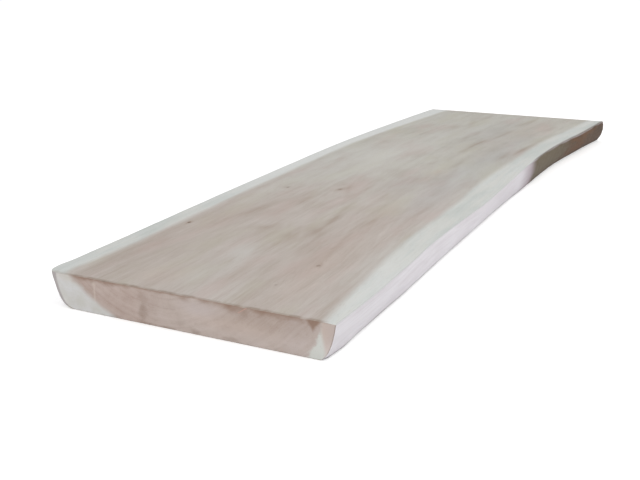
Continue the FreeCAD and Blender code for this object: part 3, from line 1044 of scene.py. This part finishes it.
def buildLiveEdge():
    material, put = newMaterial("debarkedLiveEdge")
    look = liveEdgeLook
    place = put("place")
    px, py, pz = put("axes", place)
    fibre = grainNoise(put, place, look["fibreSize"], 4.0, 0.6)
    cloud = grainNoise(put, place, look["cloudSize"])
    flake = grainNoise(put, place, look["flakeSize"], 3.0, 0.6)
    cover = put("attribute", attribute_name="barkAndShadeCover")
    sapTone = sway(put, 0.5, (fibre, 0.8), (cloud, 0.8))
    colour = put("mix", put("ramp", sapTone, 0.25, 0.7), srgb(look["sapShade"]), srgb(look["sap"]))
    # a dark line along the foot, partly inner bark left there and partly painted shade under the rounded
    # foot by the floor
    footHeight = sway(put, pz, (cloud, 0.016))
    footHeight = put("subtract", footHeight, put("ramp", px, -0.3, 0.25, 0.0, 0.005))
    foot = put("ramp", footHeight, 2.5 * mm, 11 * mm, 1.0, 0.0)
    foot = put("multiply", foot, put("ramp", cloud, 0.35, 0.6, 0.5, 0.85))
    colour = put("mix", foot, colour, srgb(look["foot"]))
    # painted shade: the live edges darken from their near part towards the middle and the far end
    colour = put("mix", put("ramp", px, -0.45, 0.2, 0.0, 0.45), colour, srgb(look["dullShade"]))
    onRight = put("ramp", py, -0.1, 0.0, 1.0, 0.0)
    # painted shade along the top of the right live edge, under the rounded arris
    arris = put("multiply", put("ramp", pz, 75 * mm, 79 * mm, 0.0, 0.5), onRight)
    colour = put("mix", arris, colour, srgb(look["arrisShade"]))
    # darker at the worn near left corner, partly brown skin and partly painted shade on its eased edge
    worn = put("multiply", put("ramp", px, -1.197, -1.185, 0.6, 0.0), put("ramp", py, 0.0, 0.1))
    colour = put("mix", worn, colour, srgb(look["wornCorner"]))
    # painted shade in mauve grey, fading in ahead of the dark brown
    halo = put("ramp", pz, 60 * mm, 80 * mm, 1.0, 0.75)
    halo = put("multiply", put("attribute", attribute_name="shadeAheadOfBark"), halo)
    colour = put("mix", put("multiply", halo, 0.8), colour, srgb(look["halo"]))
    barkTone = sway(put, 0.5, (flake, 1.0), (fibre, 0.6))
    barkColour = put("mix", put("ramp", barkTone, 0.15, 0.75), srgb(look["barkDeep"]), srgb(look["bark"]))
    patch = grainNoise(put, place, look["patchSize"], 2.0)
    warm = put("multiply", put("ramp", px, 0.62, 0.85), put("ramp", patch, 0.4, 0.62, 0.15, 0.8))
    barkColour = put("mix", warm, barkColour, srgb(look["barkWarm"]))
    greenReach = sway(put, px, (patch, 0.5))
    green = put("ramp", pz, 4 * mm, 40 * mm, 0.45, 0.85)
    green = put("multiply", green, put("ramp", greenReach, 0.6, 0.86, 1.0, 0.08))
    barkColour = put("mix", green, barkColour, srgb(look["barkGreen"]))
    # darker towards the foot and towards the far corner
    barkColour = put("mix", put("ramp", pz, 2 * mm, 20 * mm, 0.5, 0.0), barkColour, srgb(look["barkDeep"]))
    barkColour = put("mix", put("ramp", px, 1.02, 1.18, 0.0, 0.4), barkColour, srgb(look["barkDeep"]))
    # the bark's dark brown over the far part of the right side, deepened by painted shade
    colour = put("mix", cover, colour, barkColour)
    height = sway(put, 0.5, (fibre, 0.5), (put("multiply", flake, cover), 1.2))
    finishWood(put, colour, look["roughness"], height, 0.5, 1.0, 0.3)
    return material


for material in (buildSandedFace(), buildEndGrain(), buildLiveEdge()):
    slabPiece.data.materials.append(material)
print("materials made")

# A plain white studio floor under even light. Seen directly, or in gloss, the floor and
# the surroundings are white, and the floor keeps a soft shadow.
studio = {
    "floorHalf": 60000,
    "floorGap": 0.2,
    "floorColour": "f4f4f4",
    "floorLift": 0.38,
    "surround": 0.72,
    # name, place, what it points at and width in metres, and power in watts
    "lamps": [
        ("keyLight", (-0.8, -1.6, 3.4), (0, 0, 0), 2.6, 27),
        ("sideLight", (0.6, -3.6, 1.5), (0.2, 0, 0), 2.2, 28),
        ("frontLight", (-4.2, -0.3, 0.75), (-1.2, 0, 0.04), 1.2, 21),
    ],
}
white = (1, 1, 1, 1)


# 1 where a ray comes from the camera, from gloss or through glass, otherwise 0.
def whiteWhereSeen(put):
    path = put("lightPath")
    seen = put("maximum", path["Is Camera Ray"], path["Is Glossy Ray"])
    return put("maximum", seen, path["Is Transmission Ray"])


def buildFloor():
    reach = studio["floorHalf"] * mm
    below = -studio["floorGap"] * mm
    mesh = bpy.data.meshes.new("studioFloor")
    corners = [(x * reach, y * reach, below) for x, y in ((-1, -1), (1, -1), (1, 1), (-1, 1))]
    mesh.from_pydata(corners, [], [(0, 1, 2, 3)])
    floor = bpy.data.objects.new("studioFloor", mesh)
    bpy.context.scene.collection.objects.link(floor)
    material, put = newMaterial("paleFloor")
    matt = put("matt", srgb(studio["floorColour"]))
    glow = put("glow", white, put("multiply", whiteWhereSeen(put), studio["floorLift"]))
    put("materialOutput", put("both", matt, glow))
    mesh.materials.append(material)


# The surroundings light the slab evenly, and look white.
def buildSurroundings():
    world = bpy.data.worlds.new("studioWorld")
    bpy.context.scene.world = world
    put = clearNodes(world)
    strength = put("ramp", whiteWhereSeen(put), 0.0, 1.0, studio["surround"], 1.0)
    put("worldOutput", put("background", white, strength))


def buildLamp(name, place, aim, size, power):
    lamp = bpy.data.lights.new(name, "AREA")
    lamp.shape = "DISK"
    lamp.size = size
    lamp.energy = power
    light = bpy.data.objects.new(name, lamp)
    turn = (Vector(place) - Vector(aim)).to_track_quat("Z", "Y").to_matrix().to_4x4()
    light.matrix_world = Matrix.Translation(Vector(place)) @ turn
    bpy.context.scene.collection.objects.link(light)


buildFloor()
buildSurroundings()
for lamp in studio["lamps"]:
    buildLamp(*lamp)
bpy.context.scene.view_settings.view_transform = "Standard"
print("studio lit")
